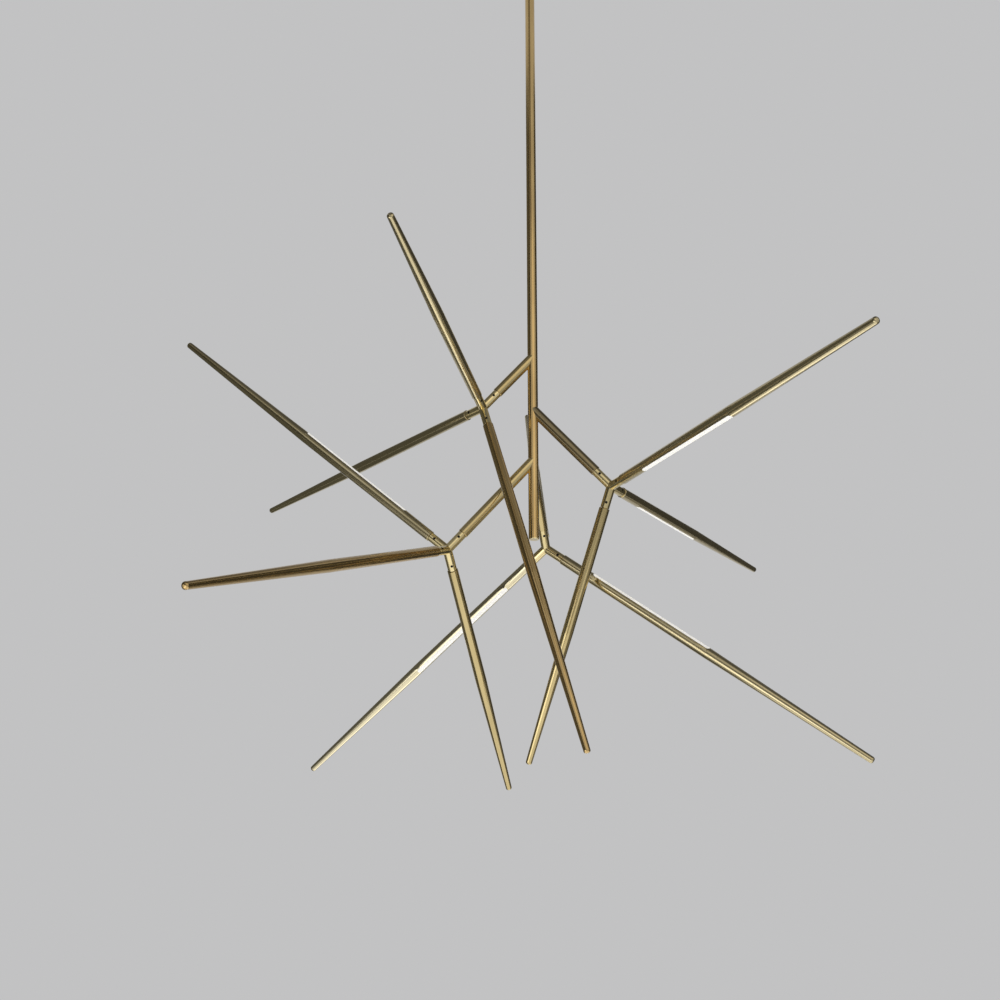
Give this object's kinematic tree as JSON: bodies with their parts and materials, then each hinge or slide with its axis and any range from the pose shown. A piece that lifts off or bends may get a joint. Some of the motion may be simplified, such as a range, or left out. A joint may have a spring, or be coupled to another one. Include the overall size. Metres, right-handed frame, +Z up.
{
  "type": "starburst chandelier",
  "caption": "Brass starburst chandelier: raked arms off a stem end in mitred four-way hubs that carry tapered light rods with opal strips; each rod turns in its socket.",
  "frame": {"origin": "centre of the ceiling face of the mounting plate, on the stem axis", "axes": "+Z up, out of the plate towards the ceiling; the front of the picture's view faces -Y"},
  "size_m": [1.0295, 1.0109, 1.4288],
  "materials": {
    "brass": "satin lacquered",
    "plated_rod": "satin brass plate",
    "opal": "opal diffuser",
    "circuit_board": "white solder mask",
    "zinc_steel": "zinc plated",
    "screw_steel": "zinc plated",
    "black_steel": "black oxide",
    "driver_case": "moulded",
    "wire_sleeve": "sleeved"
  },
  "bodies": {
    "frame": {"ceiling_plate": "zinc_steel", "stem_flange": "zinc_steel", "flange_screws": "screw_steel", "led_driver": "driver_case", "driver_screws": "screw_steel", "earth_screw": "screw_steel", "stem": "brass", "stem_end_plug": "brass", "stem_wiring": "wire_sleeve", "grub_screws": "black_steel", "arm_1": "brass", "arm_2": "brass", "arm_3": "brass", "arm_4": "brass", "hub_1": "brass", "hub_2": "brass", "hub_3": "brass", "hub_4": "brass"},
    "canopy": {"canopy": "brass", "canopy_collar": "brass", "collar_screw": "black_steel"},
    "light_rod_1a": {"rod_1a": "plated_rod", "opal_strip_1a": "opal", "led_board_1a": "circuit_board"},
    "light_rod_1b": {"rod_1b": "plated_rod", "opal_strip_1b": "opal", "led_board_1b": "circuit_board"},
    "light_rod_1c": {"rod_1c": "plated_rod", "opal_strip_1c": "opal", "led_board_1c": "circuit_board"},
    "light_rod_2a": {"rod_2a": "plated_rod", "opal_strip_2a": "opal", "led_board_2a": "circuit_board"},
    "light_rod_2b": {"rod_2b": "plated_rod", "opal_strip_2b": "opal", "led_board_2b": "circuit_board"},
    "light_rod_2c": {"rod_2c": "plated_rod", "opal_strip_2c": "opal", "led_board_2c": "circuit_board"},
    "light_rod_3a": {"rod_3a": "plated_rod", "opal_strip_3a": "opal", "led_board_3a": "circuit_board"},
    "light_rod_3b": {"rod_3b": "plated_rod", "opal_strip_3b": "opal", "led_board_3b": "circuit_board"},
    "light_rod_3c": {"rod_3c": "plated_rod", "opal_strip_3c": "opal", "led_board_3c": "circuit_board"},
    "light_rod_4a": {"rod_4a": "plated_rod", "opal_strip_4a": "opal", "led_board_4a": "circuit_board"},
    "light_rod_4b": {"rod_4b": "plated_rod", "opal_strip_4b": "opal", "led_board_4b": "circuit_board"},
    "light_rod_4c": {"rod_4c": "plated_rod", "opal_strip_4c": "opal", "led_board_4c": "circuit_board"}
  },
  "joints": [
    {"name": "canopy_slide", "type": "slide", "parent": "frame", "child": "canopy", "axis": [0, 0, -1], "range_m": [0, 0.12]},
    {"name": "rod_1a_turn", "type": "hinge", "parent": "frame", "child": "light_rod_1a", "pos_m": [-0.0777, -0.0068, -0.87063], "axis": [-0.2564, -0.9371, 0.2368], "range_deg": [-170, 170]},
    {"name": "rod_1b_turn", "type": "hinge", "parent": "frame", "child": "light_rod_1b", "pos_m": [-0.0777, -0.0068, -0.87063], "axis": [-0.6827, 0.727, -0.0732], "range_deg": [-170, 170]},
    {"name": "rod_1c_turn", "type": "hinge", "parent": "frame", "child": "light_rod_1c", "pos_m": [-0.0777, -0.0068, -0.87063], "axis": [0.2444, -0.2621, -0.9336], "range_deg": [-170, 170]},
    {"name": "rod_2a_turn", "type": "hinge", "parent": "frame", "child": "light_rod_2a", "pos_m": [0.11621, -0.02049, -1.00205], "axis": [0.45, -0.8908, 0.0628], "range_deg": [-170, 170]},
    {"name": "rod_2b_turn", "type": "hinge", "parent": "frame", "child": "light_rod_2b", "pos_m": [0.11621, -0.02049, -1.00205], "axis": [0.5299, 0.8479, -0.0157], "range_deg": [-170, 170]},
    {"name": "rod_2c_turn", "type": "hinge", "parent": "frame", "child": "light_rod_2c", "pos_m": [0.11621, -0.02049, -1.00205], "axis": [-0.2823, 0.3124, -0.907], "range_deg": [-170, 170]},
    {"name": "rod_3a_turn", "type": "hinge", "parent": "frame", "child": "light_rod_3a", "pos_m": [-0.12951, -0.01133, -1.09838], "axis": [-0.7471, 0.1643, 0.6441], "range_deg": [-170, 170]},
    {"name": "rod_3b_turn", "type": "hinge", "parent": "frame", "child": "light_rod_3b", "pos_m": [-0.12951, -0.01133, -1.09838], "axis": [-0.4627, -0.8381, -0.289], "range_deg": [-170, 170]},
    {"name": "rod_3c_turn", "type": "hinge", "parent": "frame", "child": "light_rod_3c", "pos_m": [-0.12951, -0.01133, -1.09838], "axis": [0.2122, 0.6305, -0.7466], "range_deg": [-170, 170]},
    {"name": "rod_4a_turn", "type": "hinge", "parent": "frame", "child": "light_rod_4a", "pos_m": [0.02078, 0.08036, -1.07218], "axis": [-0.0486, 0.6621, 0.7478], "range_deg": [-170, 170]},
    {"name": "rod_4b_turn", "type": "hinge", "parent": "frame", "child": "light_rod_4b", "pos_m": [0.02078, 0.08036, -1.07218], "axis": [-0.6766, 0.4988, -0.5417], "range_deg": [-170, 170]},
    {"name": "rod_4c_turn", "type": "hinge", "parent": "frame", "child": "light_rod_4c", "pos_m": [0.02078, 0.08036, -1.07218], "axis": [0.7625, -0.2641, -0.5906], "range_deg": [-170, 170]}
  ]
}
